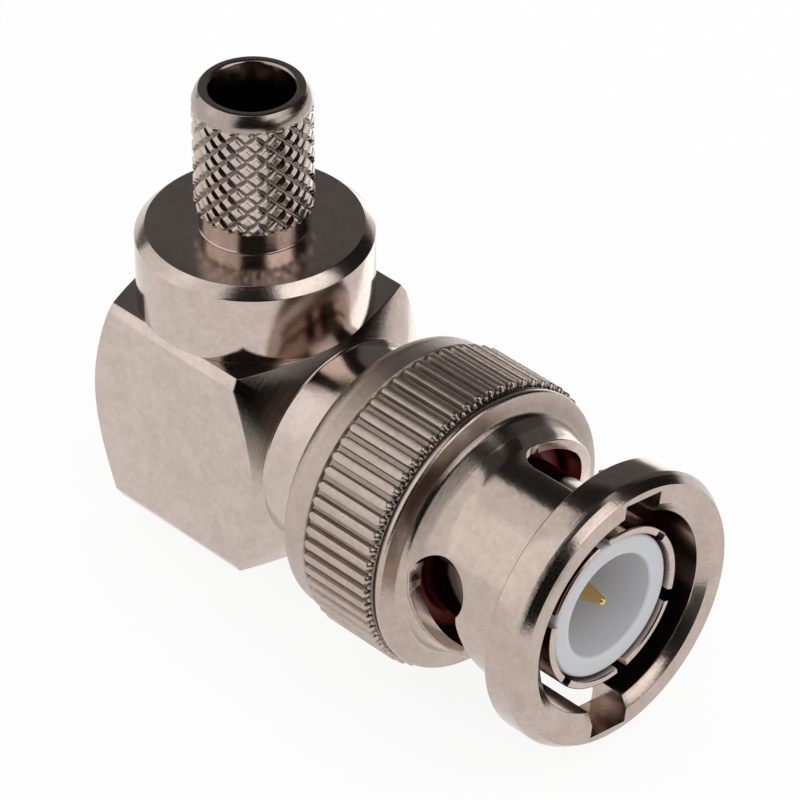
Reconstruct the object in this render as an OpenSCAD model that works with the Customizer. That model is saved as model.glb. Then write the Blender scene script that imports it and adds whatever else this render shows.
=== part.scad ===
// Right angle bayonet connector plug with a crimp stem.
// The origin is the centre of the mating plane, at the front end of the outer contact.
// +X is the mating direction and +Z points up the crimp stem.
// Stations along X and Z in the sizes below are measured from the point where the two axes cross.

/* [Body block] */
// Width of the block
block_w = 11; // [10.8:0.05:11.2]
// Height of the block's top face above the connector axis
block_top = 5.46; // [5.4:0.01:5.6]
// Depth of the block's bottom face below the connector axis
block_bottom = 5.7; // [5.5:0.05:5.9]
// Chamfer of the long edges, across the top face
block_edge_y = 0.3; // [0.1:0.05:0.5]
// Chamfer of the long edges, down the side face
block_edge_z = 0.5; // [0.2:0.05:0.6]
// Distance from the stem axis to the coned front end, at half the block's width
block_front = 5.42; // [5.3:0.02:5.6]
// Distance from the stem axis to the coned rear end, at half the block's width
block_rear = 5.3; // [5.1:0.05:5.5]
// Angle of the coned ends from a flat face
end_cone_deg = 30.5; // [26:0.5:34]
// Radius of the polished neck between the block and the coupling nut
neck_r = 5.07; // [5:0.01:5.09]

/* [Crimp stem] */
// Radius of the stem's round base, whose rim stands out over the block's chamfers
base_r = 5.53; // [5.3:0.01:5.6]
// Height of the base above the connector axis
base_top = 9.48; // [9:0.1:10]
// Chamfer of the base
base_edge = 0.5; // [0.2:0.05:0.7]
// Bore of the stem
stem_bore_r = 1.99; // [1.8:0.01:2.05]
// Radius of the plain neck under the knurl
stem_neck_r = 2.57; // [2.5:0.01:2.58]
// Radius over the tips of the knurl
knurl_tip_r = 2.76; // [2.74:0.01:2.85]
// Radius at the bottom of the knurl
knurl_root_r = 2.6; // [2.59:0.01:2.65]
// Height where the knurl starts
knurl_z0 = 10.55; // [10.3:0.1:11]
// Number of knurl grooves each way around the stem
knurl_starts = 19; // [14:1:20]
// Number of knurl diamonds along the stem
knurl_rows = 6; // [4:1:6]
// Height of the stem's rim
stem_top = 16.9; // [16.8:0.1:18]
// Radius of the flat rim
stem_rim_r = 2.41; // [2.3:0.01:2.5]

/* [Coupling nut] */
// Radius over the ribs
rib_tip_r = 7.22; // [7.15:0.01:7.4]
// Radius between the ribs
rib_root_r = 6.95; // [6.9:0.01:7]
// Number of ribs
rib_count = 60; // [36:1:72]
// Station of the rear end of the ribs
rib_x0 = 10.55; // [10.4:0.05:10.8]
// Station of the front end of the ribs
rib_x1 = 14.5; // [14.2:0.05:14.55]
// Station of the nut's rear face
nut_rear = 8.43; // [8.2:0.01:8.6]
// Radius of the waist between the collar and the front ring
waist_r = 5.47; // [5.4:0.01:5.6]
// Outer radius of the front ring
ring_r = 6.825; // [6.6:0.01:7]
// Station of the rear edge of the front ring
ring_x0 = 21.47; // [21.2:0.05:21.8]
// Station of the front face
nut_front = 23.53; // [23.4:0.01:23.8]
// Bore that takes the mating socket
nut_bore_r = 5.035; // [5:0.005:5.06]
// Travel of the nut against its wave washer
nut_travel = 0.5; // [0.2:0.05:0.6]

/* [Bayonet slots] */
// Radius to which the slots are cut
slot_cut_r = 6.2; // [6.1:0.05:6.3]
// Width of the axial entry groove
entry_w = 2.25; // [2.1:0.05:2.5]
// Angle of the first entry groove, from +Z towards +Y
entry_deg = 9; // [0:1:20]
// Station of the rear end of the entry groove
entry_rear = 16.95; // [16.8:0.05:17.2]
// Angle from the entry groove to the lock hole
lock_turn_deg = 91.5; // [85:0.5:95]
// Radius of the lock hole
lock_hole_r = 1.48; // [1.3:0.01:1.5]
// Station of the lock hole
lock_hole_x = 17.2; // [17.1:0.05:17.4]

/* [Contacts and insulators] */
// Outer radius of the contact sleeve
sleeve_r = 4.05; // [4:0.01:4.1]
// Bore of the contact sleeve's fingers
finger_bore_r = 3.68; // [3.6:0.01:3.75]
// Station of the mating plane, at the front end of the sleeve
mating_x = 22.81; // [22.6:0.01:23]
// Number of spring fingers
finger_count = 6; // [4:1:8]
// Width of the saw cuts between the fingers
saw_w = 0.62; // [0.4:0.02:0.7]
// Angle of the first saw cut, from +Z towards +Y
saw_deg = 50; // [0:1:59]
// Outer radius of the front insulator
insulator_r = 3.57; // [3.5:0.01:3.6]
// Radius of its recess
recess_r = 2.58; // [2.4:0.01:2.7]
// Radius of the centre pin
pin_r = 0.675; // [0.66:0.005:0.69]
// Station of the tip of the centre pin
pin_tip_x = 22.22; // [22:0.02:22.4]
// Outer radius of the gasket
gasket_r = 4.95; // [4.85:0.01:4.98]

/* [Hidden] */
$fn = 96;

nickel = [0.78, 0.75, 0.71];
gold = [0.86, 0.68, 0.30];
ptfe = [0.93, 0.93, 0.94];
red_rubber = [0.42, 0.04, 0.03];

// Clearances: a running fit between the nut's group and the neck, and room beside flat faces
run_gap = 0.08;
end_gap = 0.05;
overcut = 1;

// Body block, inside
chamber_r = 3.3;
chamber_end = 4.0;
shank_r = 3.9;
shank_bore_r = 3.2;
neck_end = 11.0;
cap_r = 4.3;
cap_t = 1.2;
cap_edge = 0.25;
cap_insulator_t = 0.6;
spigot_r = 4.0;
spigot_z0 = 4.4;
stem_ledge = 0.6;
stem_seat_z = spigot_z0 + stem_ledge;
cone_run = tan(end_cone_deg);
block_half = block_w / 2;
rear_flat = block_rear + cone_run * (block_half - cap_r);
cone_top_r = norm([block_half, max(block_top, block_bottom)]);

// Outer contact
flange_r = 5.9;
flange_x0 = 12.2;
flange_x1 = 13.8;
finger_step_x = 15.0;
finger_root = 15.6;
tip_edge = 0.12;
insulator_back = 9.0;

// Nut, inside and along the outside
cavity_r = 6.05;
cavity_x0 = 9.55;
cavity_x1 = flange_x1 + 2 * end_gap;
lip_bore_r = neck_r + run_gap;
shoulder_round = 1.02;
shoulder_r = 6.92;
shoulder_top_r = 7.08;
collar_x0 = 14.86;
collar_x1 = 15.13;
collar_r = 6.98;
collar_edge = 0.16;
groove_w = 0.22;
groove_edge = 0.04;
groove_r = 6.8;
face_deg = 78;
foot_round = 0.42;
taper_deg = 17;
taper_x1 = 16.85;
ring_fillet = 0.3;
ring_bevel = [[0.68, 0], [0.28, 0.08], [0, 0.25]];
lead_r = 5.57;
lead_len = 0.37;
rib_share = 0.62;
rib_taper = 0.75;
rib_end = 0.22;

// Bayonet cam: stations of the helical slot's walls, the share of the turn where its neck lies, and the
// shares between which the rear wall runs down to the lock hole
slot_front_start = 20.2;
slot_front_end = 18.34;
neck_share = 0.84;
slot_rear_start = 17.0;
rear_ramp = [0.36, 0.9];
slot_rear_end = lock_hole_x - lock_hole_r + end_gap;
cam_steps = 16;

// Knurl
knurl_len = 5.5;
knurl_z1 = knurl_z0 + knurl_len;
knurl_flat = 0.45;
knurl_core_r = 2.3;
stem_core_r = 2.45;
nose_r = knurl_tip_r + 0.01;
rim_edge = 0.1;

// Washers, gasket and insulators
washer_x0 = cavity_x0 + end_gap;
washer_t = 0.6;
washer_r = cavity_r - 2 * end_gap;
wave_count = 3;
wave_t = 0.28;
wave_in_r = 5.3;
wave_out_r = 5.85;
wave_steps = 48;
gasket_t = 1.2;
insulator_front = 22.59;
recess_x0 = 17.0;
pin_step = 14.0;
core_r = 1.0;
solder_x0 = 1.6;
solder_x1 = -1.6;
solder_r = 0.85;
cup_w = 0.9;
cup_depth = 0.3;
cone_len = 2.2;
tip_r = 0.17;
rear_insulator_x0 = 2.6;

// Places a shape that is turned about X: its profile is [radius, station]
module turned_about_x() rotate([90, 0, 90]) rotate_extrude() children();

// Moves a piece from the crossing of the axes to the part's origin
module in_part_frame() translate([-mating_x, 0, 0]) children();

// A radial direction at an angle from +Z towards +Y, with the piece standing on the X axis
module at_angle(deg) rotate([-deg, 0, 0]) children();

// A cylinder along X between two stations
module rod_x(r, x0, x1) translate([x0, 0, 0]) rotate([0, 90, 0]) cylinder(r = r, h = x1 - x0);

function arc(cx, cy, r, a0, a1, n) = [for (i = [0:n]) let (a = a0 + (a1 - a0) * i / n)
    [cx + r * cos(a), cy + r * sin(a)]];

module block_section() {
    polygon([[-block_half, block_edge_z - block_bottom], [block_edge_y - block_half, -block_bottom],
             [block_half - block_edge_y, -block_bottom], [block_half, block_edge_z - block_bottom],
             [block_half, block_top - block_edge_z], [block_half - block_edge_y, block_top],
             [block_edge_y - block_half, block_top], [-block_half, block_top - block_edge_z]]);
}

// The block's ends are turned: a flat, then a cone out to the corners
module coned_ends() {
    corner_run = cone_run * (cone_top_r - block_half);
    neck_run = cone_run * (block_half - neck_r);
    turned_about_x() polygon([[0, -rear_flat], [cap_r, -rear_flat], [cone_top_r, corner_run - block_rear],
                              [cone_top_r, block_front - corner_run], [neck_r, block_front + neck_run],
                              [0, block_front + neck_run]]);
}

module body_block() {
    color(nickel) in_part_frame() difference() {
        union() {
            intersection() {
                rotate([90, 0, 90]) translate([0, 0, -block_w]) linear_extrude(2 * block_w) block_section();
                coned_ends();
            }
            rod_x(neck_r, 0, neck_end);
        }
        rod_x(chamber_r, -block_w, chamber_end);
        rod_x(shank_r, chamber_end, neck_end + overcut);
        rod_x(cap_r, -block_w, cap_t - rear_flat);
        translate([0, 0, spigot_z0]) cylinder(r = spigot_r, h = block_w);
        cylinder(r = stem_bore_r, h = block_w);
    }
}

// The stem's base sits on the block's top face, with a spigot pressed into the block and a seat for the stem
module stem_base() {
    color(nickel) in_part_frame() rotate_extrude() polygon([[stem_bore_r, spigot_z0], [spigot_r, spigot_z0],
        [spigot_r, block_top], [base_r, block_top], [base_r, base_top - base_edge],
        [base_r - base_edge, base_top], [stem_neck_r, base_top], [stem_neck_r, stem_seat_z],
        [stem_bore_r, stem_seat_z]]);
}

module rear_cap() {
    color(nickel) in_part_frame() turned_about_x() polygon([[0, -rear_flat], [cap_r - cap_edge, -rear_flat],
        [cap_r, cap_edge - rear_flat], [cap_r, cap_t - rear_flat], [0, cap_t - rear_flat]]);
}

module cap_insulator() {
    color(ptfe) in_part_frame() rod_x(chamber_r, cap_t - rear_flat, cap_t - rear_flat + cap_insulator_t);
}

// Knurl: groove crossings lie at the root radius, and between four of them stands a diamond with a flat
// top. Columns are half a groove pitch apart around the stem, rows half a diamond apart along it.
function knurl_point(r, column, z) = [r * cos(column * 180 / knurl_starts),
                                      r * sin(column * 180 / knurl_starts), z];

module knurl() {
    columns = 2 * knurl_starts;
    rows = 2 * knurl_rows;
    row_h = (knurl_z1 - knurl_z0) / rows;
    surface_points = [for (j = [0:rows]) for (c = [0:knurl_starts - 1])
        let (top = 2 * c + j % 2, groove = 2 * c + 1 - j % 2, z = knurl_z0 + j * row_h)
        each [knurl_point(knurl_tip_r, top - knurl_flat, z),
              knurl_point(knurl_tip_r, top, min(knurl_z1, z + row_h * knurl_flat)),
              knurl_point(knurl_tip_r, top + knurl_flat, z),
              knurl_point(knurl_tip_r, top, max(knurl_z0, z - row_h * knurl_flat)),
              knurl_point(knurl_root_r, groove, z)]];
    core_points = [for (z = [knurl_z0, knurl_z1]) for (i = [0:columns - 1]) knurl_point(knurl_core_r, i, z)];
    core_first = len(surface_points);

    function cell(i, j) = 5 * (j * knurl_starts + floor(((i + columns) % columns) / 2));
    function left(i, j) = cell(i, j);
    function upper(i, j) = cell(i, j) + 1;
    function right(i, j) = cell(i, j) + 2;
    function lower(i, j) = cell(i, j) + 3;
    function groove(i, j) = cell(i, j) + 4;
    function core(i, end) = core_first + end * columns + (i + columns) % columns;

    flats = [for (j = [0:rows]) for (i = [j % 2:2:columns - 1])
        each [[left(i, j), upper(i, j), right(i, j)], [left(i, j), right(i, j), lower(i, j)]]];
    upper_flanks = [for (j = [0:rows - 1]) for (i = [j % 2:2:columns - 1])
        each [[groove(i + 1, j), right(i, j), upper(i, j)], [groove(i + 1, j), upper(i, j), groove(i, j + 1)],
              [groove(i, j + 1), upper(i, j), left(i, j)], [groove(i, j + 1), left(i, j), groove(i - 1, j)]]];
    lower_flanks = [for (j = [1:rows]) for (i = [j % 2:2:columns - 1])
        each [[groove(i - 1, j), left(i, j), lower(i, j)], [groove(i - 1, j), lower(i, j), groove(i, j - 1)],
              [groove(i, j - 1), lower(i, j), right(i, j)], [groove(i, j - 1), right(i, j), groove(i + 1, j)]]];
    bottom = [for (i = [0:2:columns - 1])
        each [[groove(i - 1, 0), left(i, 0), core(i, 0)], [groove(i - 1, 0), core(i, 0), core(i - 1, 0)],
              [left(i, 0), lower(i, 0), core(i, 0)], [lower(i, 0), right(i, 0), core(i, 0)],
              [right(i, 0), groove(i + 1, 0), core(i, 0)], [groove(i + 1, 0), core(i + 1, 0), core(i, 0)]]];
    top = [for (i = [0:2:columns - 1])
        each [[core(i - 1, 1), core(i, 1), groove(i - 1, rows)], [core(i, 1), left(i, rows), groove(i - 1, rows)],
              [core(i, 1), upper(i, rows), left(i, rows)], [core(i, 1), right(i, rows), upper(i, rows)],
              [core(i, 1), groove(i + 1, rows), right(i, rows)],
              [core(i, 1), core(i + 1, 1), groove(i + 1, rows)]]];
    inside = [for (i = [0:columns - 1])
        each [[core(i, 0), core(i + 1, 0), core(i + 1, 1)], [core(i, 0), core(i + 1, 1), core(i, 1)]]];
    polyhedron(concat(surface_points, core_points),
               concat(flats, upper_flanks, lower_flanks, bottom, top, inside));
}

// The rim above the knurl is turned down to a rounded nose
module crimp_stem() {
    nose_h = stem_top - knurl_z1;
    nose_in = nose_r - stem_rim_r;
    nose_round = (nose_h * nose_h + nose_in * nose_in) / (2 * nose_in);
    color(nickel) in_part_frame() {
        rotate_extrude() polygon(concat(
            [[stem_bore_r, stem_seat_z], [stem_neck_r, stem_seat_z], [stem_neck_r, knurl_z0],
             [stem_core_r, knurl_z0], [stem_core_r, knurl_z1]],
            arc(nose_r - nose_round, knurl_z1, nose_round, 0, asin(nose_h / nose_round), 6),
            [[stem_bore_r + rim_edge, stem_top], [stem_bore_r, stem_top - rim_edge]]));
        knurl();
    }
}

module saw_cuts() {
    for (i = [0:finger_count - 1]) at_angle(saw_deg + i * 360 / finger_count)
        translate([finger_root, -saw_w / 2, 0]) cube([mating_x, saw_w, flange_r]);
}

module outer_contact() {
    color(nickel) in_part_frame() difference() {
        turned_about_x() polygon([[shank_bore_r, chamber_end], [shank_r - tip_edge, chamber_end],
            [shank_r, chamber_end + tip_edge], [shank_r, neck_end], [neck_r, neck_end], [neck_r, flange_x0],
            [flange_r, flange_x0], [flange_r, flange_x1], [sleeve_r, flange_x1],
            [sleeve_r, mating_x - tip_edge], [sleeve_r - tip_edge, mating_x],
            [finger_bore_r + tip_edge, mating_x], [finger_bore_r, mating_x - tip_edge],
            [finger_bore_r, finger_step_x], [insulator_r, finger_step_x], [insulator_r, insulator_back],
            [shank_bore_r, insulator_back]]);
        saw_cuts();
    }
}

module front_insulator() {
    color(ptfe) in_part_frame() turned_about_x() polygon([[core_r, insulator_back], [insulator_r, insulator_back],
        [insulator_r, insulator_front - tip_edge], [insulator_r - tip_edge, insulator_front],
        [recess_r + tip_edge, insulator_front], [recess_r, insulator_front - tip_edge], [recess_r, recess_x0],
        [pin_r, recess_x0], [pin_r, pin_step], [core_r, pin_step]]);
}

module rear_insulator() {
    color(ptfe) in_part_frame() turned_about_x() polygon([[core_r, rear_insulator_x0],
        [shank_bore_r, rear_insulator_x0], [shank_bore_r, insulator_back], [core_r, insulator_back]]);
}

// The cable's core comes down the stem into the cup at the rear end of the pin
module centre_contact() {
    color(gold) in_part_frame() difference() {
        turned_about_x() polygon([[0, solder_x1], [solder_r, solder_x1], [solder_r, solder_x0],
            [core_r, solder_x0], [core_r, pin_step], [pin_r, pin_step], [pin_r, pin_tip_x - cone_len],
            [tip_r, pin_tip_x], [0, pin_tip_x]]);
        translate([0, 0, -cup_depth]) cylinder(r = cup_w / 2, h = core_r + overcut);
    }
}

module gasket() {
    color(red_rubber) in_part_frame() turned_about_x() polygon([[sleeve_r, flange_x1], [gasket_r, flange_x1],
        [gasket_r, flange_x1 + gasket_t - tip_edge], [gasket_r - tip_edge, flange_x1 + gasket_t],
        [sleeve_r + tip_edge, flange_x1 + gasket_t], [sleeve_r, flange_x1 + gasket_t - tip_edge]]);
}

// A flat strip bent into waves around the neck, drawn at the height to which the nut's travel presses it
module wave_washer() {
    height = flange_x0 - washer_x0 - washer_t - nut_travel - 2 * end_gap;
    middle = flange_x0 - end_gap - height / 2;
    swing = (height - wave_t) / 2;
    function strip(i) = let (a = 360 * i / wave_steps, x = middle + swing * cos(wave_count * a))
        [for (p = [[wave_in_r, -1], [wave_out_r, -1], [wave_out_r, 1], [wave_in_r, 1]])
            [x + p[1] * wave_t / 2, p[0] * cos(a), p[0] * sin(a)]];
    faces = [for (i = [0:wave_steps - 1]) for (k = [0:3])
        let (a = 4 * i, b = 4 * ((i + 1) % wave_steps), n = (k + 1) % 4)
        each [[a + k, b + k, b + n], [a + k, b + n, a + n]]];
    color(nickel) in_part_frame() polyhedron([for (i = [0:wave_steps - 1]) each strip(i)], faces);
}

module retaining_washer() {
    color(nickel) in_part_frame() turned_about_x() polygon([[lip_bore_r, washer_x0], [washer_r, washer_x0],
        [washer_r, washer_x0 + washer_t], [lip_bore_r, washer_x0 + washer_t]]);
}

// In front of the ribs come a narrow groove and a thin collar. The collar's front face runs with a fillet
// into a slight taper, which ends on the waist.
module nut_turned() {
    groove_x0 = collar_x0 - groove_w;
    face_r = collar_r - collar_edge * (1 - cos(face_deg));
    face_x = collar_x1 - collar_edge * (1 - sin(face_deg));
    taper = tan(taper_deg);
    face_len = (face_r - waist_r + foot_round * (cos(face_deg) - cos(taper_deg))
                - (taper_x1 - face_x - foot_round * (sin(face_deg) - sin(taper_deg))) * taper)
               / (sin(face_deg) - cos(face_deg) * taper);
    foot_r = face_r - face_len * sin(face_deg) + foot_round * cos(face_deg);
    foot_x = face_x + face_len * cos(face_deg) + foot_round * sin(face_deg);
    front_bevel = [for (p = ring_bevel) [ring_r - p[1], nut_front - p[0]]];
    turned_about_x() polygon(concat(
        [[lip_bore_r, nut_rear]],
        arc(shoulder_r - shoulder_round, nut_rear + shoulder_round, shoulder_round, -90, 0, 8),
        [[shoulder_top_r, rib_x0 - rib_end], [rib_root_r, rib_x0], [rib_root_r, groove_x0],
         [groove_r, groove_x0 + groove_edge], [groove_r, collar_x0 - groove_edge], [collar_r, collar_x0]],
        arc(collar_r - collar_edge, collar_x1 - collar_edge, collar_edge, 0, face_deg, 3),
        arc(foot_r, foot_x, foot_round, 180 + face_deg, 180 + taper_deg, 5),
        [[waist_r, taper_x1], [waist_r, ring_x0 - ring_fillet], [waist_r + ring_fillet, ring_x0],
         [ring_r - tip_edge, ring_x0], [ring_r, ring_x0 + tip_edge]],
        front_bevel,
        [[lead_r, nut_front], [nut_bore_r, nut_front - lead_len], [nut_bore_r, cavity_x1],
         [cavity_r, cavity_x1], [cavity_r, cavity_x0], [lip_bore_r, cavity_x0]]));
}

// The ribs are one star shaped prism, trimmed by a turned envelope that rounds both of their ends
module ribs() {
    pitch = 360 / rib_count;
    top = pitch * rib_share * rib_taper / 2;
    foot = pitch * rib_share / 2;
    star_r = rib_tip_r + tip_edge;
    star_root_r = rib_root_r - tip_edge;
    intersection() {
        translate([rib_x0 - overcut, 0, 0]) rotate([90, 0, 90]) linear_extrude(rib_x1 - rib_x0 + 2 * overcut)
            polygon([for (i = [0:rib_count - 1]) for (p = [[star_root_r, -foot], [star_r, -top],
                     [star_r, top], [star_root_r, foot]])
                let (a = i * pitch + p[1]) [p[0] * cos(a), p[0] * sin(a)]]);
        turned_about_x() polygon([[cavity_r + tip_edge, rib_x0], [rib_root_r + tip_edge, rib_x0],
            [rib_tip_r, rib_x0 + rib_end], [rib_tip_r, rib_x1 - rib_end], [rib_root_r + tip_edge, rib_x1],
            [cavity_r + tip_edge, rib_x1]]);
    }
}

// The slot's side walls between the entry groove and the lock hole, at a share of the turn
function slot_rear(t) = let (share = (t - rear_ramp[0]) / (rear_ramp[1] - rear_ramp[0]))
    slot_rear_start - (slot_rear_start - slot_rear_end) * max(0, min(1, share));
function slot_front(t) = slot_front_start - (slot_front_start - slot_front_end) * min(1, t / neck_share);

module helical_slot() {
    function ring(i) = let (t = i / cam_steps, a = entry_deg + lock_turn_deg * t)
        [for (p = [[nut_bore_r - overcut, slot_rear(t)], [slot_cut_r + overcut, slot_rear(t)],
                   [slot_cut_r + overcut, slot_front(t)], [nut_bore_r - overcut, slot_front(t)]])
            [p[1], p[0] * sin(a), p[0] * cos(a)]];
    walls = [for (i = [0:cam_steps - 1]) for (k = [0:3])
        let (a = 4 * i, b = a + 4, n = (k + 1) % 4) each [[a + k, b + n, a + n], [a + k, b + k, b + n]]];
    last = 4 * cam_steps;
    ends = [[0, 1, 2], [0, 2, 3], [last, last + 2, last + 1], [last, last + 3, last + 2]];
    polyhedron([for (i = [0:cam_steps]) each ring(i)], concat(walls, ends));
}

// Two slots half a turn apart: entry groove, helix and lock hole, all cut to the same radius
module bayonet_cuts() {
    intersection() {
        union() for (half_turn = [0, 180]) rotate([half_turn, 0, 0]) {
            at_angle(entry_deg) translate([entry_rear + entry_w / 2, 0, 0]) {
                cylinder(r = entry_w / 2, h = ring_r);
                translate([0, -entry_w / 2, 0]) cube([nut_front, entry_w, ring_r]);
            }
            helical_slot();
            at_angle(entry_deg + lock_turn_deg) translate([lock_hole_x, 0, 0])
                cylinder(r = lock_hole_r, h = ring_r);
        }
        rod_x(slot_cut_r, collar_x1, nut_front + overcut);
    }
}

module coupling_nut() {
    color(nickel) in_part_frame() difference() {
        union() {
            nut_turned();
            ribs();
        }
        bayonet_cuts();
    }
}

body_block();
rear_cap();
cap_insulator();
stem_base();
crimp_stem();
outer_contact();
front_insulator();
rear_insulator();
centre_contact();
gasket();
wave_washer();
retaining_washer();
coupling_nut();
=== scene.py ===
import math

import bmesh
import bpy
import numpy as np
from mathutils import Matrix, Vector

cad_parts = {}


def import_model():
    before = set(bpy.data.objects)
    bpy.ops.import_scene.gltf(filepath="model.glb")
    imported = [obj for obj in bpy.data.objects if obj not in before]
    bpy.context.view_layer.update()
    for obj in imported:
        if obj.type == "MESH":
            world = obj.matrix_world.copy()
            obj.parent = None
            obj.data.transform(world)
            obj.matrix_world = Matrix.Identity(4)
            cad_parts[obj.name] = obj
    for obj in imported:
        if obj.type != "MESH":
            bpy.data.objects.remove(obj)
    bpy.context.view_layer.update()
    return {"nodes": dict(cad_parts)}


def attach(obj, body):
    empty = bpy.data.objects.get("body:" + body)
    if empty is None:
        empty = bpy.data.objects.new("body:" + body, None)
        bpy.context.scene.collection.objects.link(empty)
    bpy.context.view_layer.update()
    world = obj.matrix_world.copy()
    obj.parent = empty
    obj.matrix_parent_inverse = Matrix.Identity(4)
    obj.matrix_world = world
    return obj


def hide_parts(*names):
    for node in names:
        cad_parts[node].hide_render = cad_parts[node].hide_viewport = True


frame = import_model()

# Stations along X and Z are in millimetres from the crossing of the two axes, as in the part's
# source. The frame's origin lies MATING_X ahead of it, on the mating plane
MM = 0.001
MATING_X = 22.81


# Meshes

# Points closer than WELD_M metres are one, and a radius below ON_AXIS is on the axis. A corner
# that bends by less than NEARLY_STRAIGHT radians gets no arc, and arcs use at most EDGE_SHARE of
# an edge
WELD_M, ON_AXIS = 1e-8, 1e-9
NEARLY_STRAIGHT, EDGE_SHARE = 0.02, 0.98


def link(obj):
    bpy.context.collection.objects.link(obj)
    return obj


def quads(rows, columns, close_rows=True, close_columns=True):
    """The faces of a grid of points, row by row.

    A closed grid goes on from its last row or column to the first."""
    i, j = np.meshgrid(np.arange(rows if close_rows else rows - 1),
                       np.arange(columns if close_columns else columns - 1), indexing="ij")
    i2, j2 = (i + 1) % rows, (j + 1) % columns
    corners = i * columns + j, i * columns + j2, i2 * columns + j2, i2 * columns + j
    return np.stack(corners, -1).reshape(-1, 4)


def new_object(name, vertices, faces, axis):
    """A mesh object from stations and offsets in millimetres.

    They are taken about the connector axis X or the stem axis Z."""
    v = np.asarray(vertices, float)
    if axis == "X":
        v = v - (MATING_X, 0, 0)
    else:
        v = np.stack([v[:, 1] - MATING_X, v[:, 2], v[:, 0]], 1)
    mesh = bpy.data.meshes.new(name)
    mesh.from_pydata((v * MM).tolist(), [], [list(map(int, f)) for f in faces])
    bm = bmesh.new()
    bm.from_mesh(mesh)
    bmesh.ops.remove_doubles(bm, verts=bm.verts, dist=WELD_M)
    bmesh.ops.recalc_face_normals(bm, faces=bm.faces)
    bm.to_mesh(mesh)
    bm.free()
    return link(bpy.data.objects.new(name, mesh))


def smooth(obj, angle=32):
    obj.data.shade_smooth()
    obj.data.set_sharp_from_angle(angle=math.radians(angle))


def rounded(corners, step=12):
    """A closed outline from (station, radius, fillet) corners, each turned into an arc.

    Where two arcs would meet on an edge, both become smaller. An arc has a point every step
    degrees."""
    pts = np.array([c[:2] for c in corners], float)
    edges = np.roll(pts, -1, 0) - pts
    lengths = np.linalg.norm(edges, axis=1)
    ahead = edges / lengths[:, None]
    back = -np.roll(ahead, 1, 0)
    bend = math.pi - np.arccos(np.clip((ahead * back).sum(1), -1, 1))
    fillets = np.array([c[2] if len(c) > 2 else 0 for c in corners]) * (bend > NEARLY_STRAIGHT)
    reach = fillets * np.tan(bend / 2)
    both = np.maximum(reach + np.roll(reach, -1), ON_AXIS)
    room = np.minimum(1, EDGE_SHARE * lengths / both)
    reach = reach * np.minimum(room, np.roll(room, 1))
    out = []
    for p, u, w, turn, t in zip(pts, back, ahead, bend, reach):
        if t <= 0:
            out.append(p)
            continue
        f = t / math.tan(turn / 2)
        centre = p + (u + w) / np.linalg.norm(u + w) * math.hypot(f, t)
        s, e = p + u * t - centre, p + w * t - centre
        n = max(2, int(math.degrees(turn) / step))
        sweep = math.atan2(s[0] * e[1] - s[1] * e[0], float(s @ e))
        for q in np.arange(n + 1) * sweep / n:
            c, d = math.cos(q), math.sin(q)
            out.append(centre + (s[0] * c - s[1] * d, s[0] * d + s[1] * c))
    return np.array(out)


def refined(outline, stations, above=0):
    """The outline with extra rows at the given stations on its stretches above a radius."""
    out = []
    for p, q in zip(outline, np.roll(outline, -1, 0)):
        out.append(p)
        if min(p[1], q[1]) < above or abs(q[0] - p[0]) < ON_AXIS:
            continue
        cuts = sorted((x - p[0]) / (q[0] - p[0]) for x in stations)
        out += [p + (q - p) * t for t in cuts if 1 - EDGE_SHARE < t < EDGE_SHARE]
    return np.array(out)


def lathe(name, outline, angles, axis="X", shape=None):
    """A closed outline turned about an axis. shape(station, angle, radius) gives a new radius."""
    outline, angles = np.asarray(outline), np.asarray(angles)
    n, m = len(outline), len(angles)
    x, a = np.repeat(outline[:, 0], m), np.tile(angles, n)
    r = np.repeat(outline[:, 1], m)
    if shape:
        r = shape(x, a, r)
    if axis == "X":
        v = np.stack([x, r * np.sin(a), r * np.cos(a)], 1)
    else:
        v = np.stack([x, r * np.cos(a), r * np.sin(a)], 1)
    on_axis = outline[:, 1] < ON_AXIS
    keep = ~np.repeat(on_axis & np.roll(on_axis, -1), m)
    return new_object(name, v, quads(n, m)[keep], axis)


def turns(n):
    return np.arange(n) * 2 * math.pi / n


def boolean(obj, other, operation="DIFFERENCE"):
    """Cuts, joins or trims a mesh with another one, which is then removed."""
    mod = obj.modifiers.new("cut", "BOOLEAN")
    mod.operation, mod.solver, mod.object = operation, "MANIFOLD", other
    bpy.context.view_layer.update()
    depsgraph = bpy.context.evaluated_depsgraph_get()
    mesh = bpy.data.meshes.new_from_object(obj.evaluated_get(depsgraph))
    obj.modifiers.clear()
    obj.data = mesh
    bpy.data.objects.remove(other)
    return obj


def smoothstep(low, high, x):
    t = np.clip((x - low) / (high - low), 0, 1)
    return t * t * (3 - 2 * t)


# Materials

class Nodes:
    """The nodes of a material or world, and short calls that add to them."""

    def __init__(self, tree):
        self.nodes, self.links = tree.nodes, tree.links

    def node(self, kind, inputs=(), **settings):
        n = self.nodes.new("ShaderNode" + kind)
        for key, value in settings.items():
            setattr(n, key, value)
        for key, value in dict(inputs).items():
            if isinstance(value, bpy.types.NodeSocket):
                self.links.new(value, n.inputs[key])
            else:
                n.inputs[key].default_value = value
        return n

    def math(self, operation, a, b=0.0):
        return self.node("Math", {0: a, 1: b}, operation=operation).outputs[0]

    def ramp(self, value, low, high, to_low, to_high):
        inputs = {0: value, 1: low, 2: high, 3: to_low, 4: to_high}
        return self.node("MapRange", inputs).outputs[0]

    def seen(self):
        """1 for the camera and for what metal and glass show, and 0 for the light on a surface."""
        rays = self.node("LightPath").outputs
        shown = self.math("MAXIMUM", rays["Is Glossy Ray"], rays["Is Transmission Ray"])
        return self.math("MAXIMUM", rays["Is Camera Ray"], shown)


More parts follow.
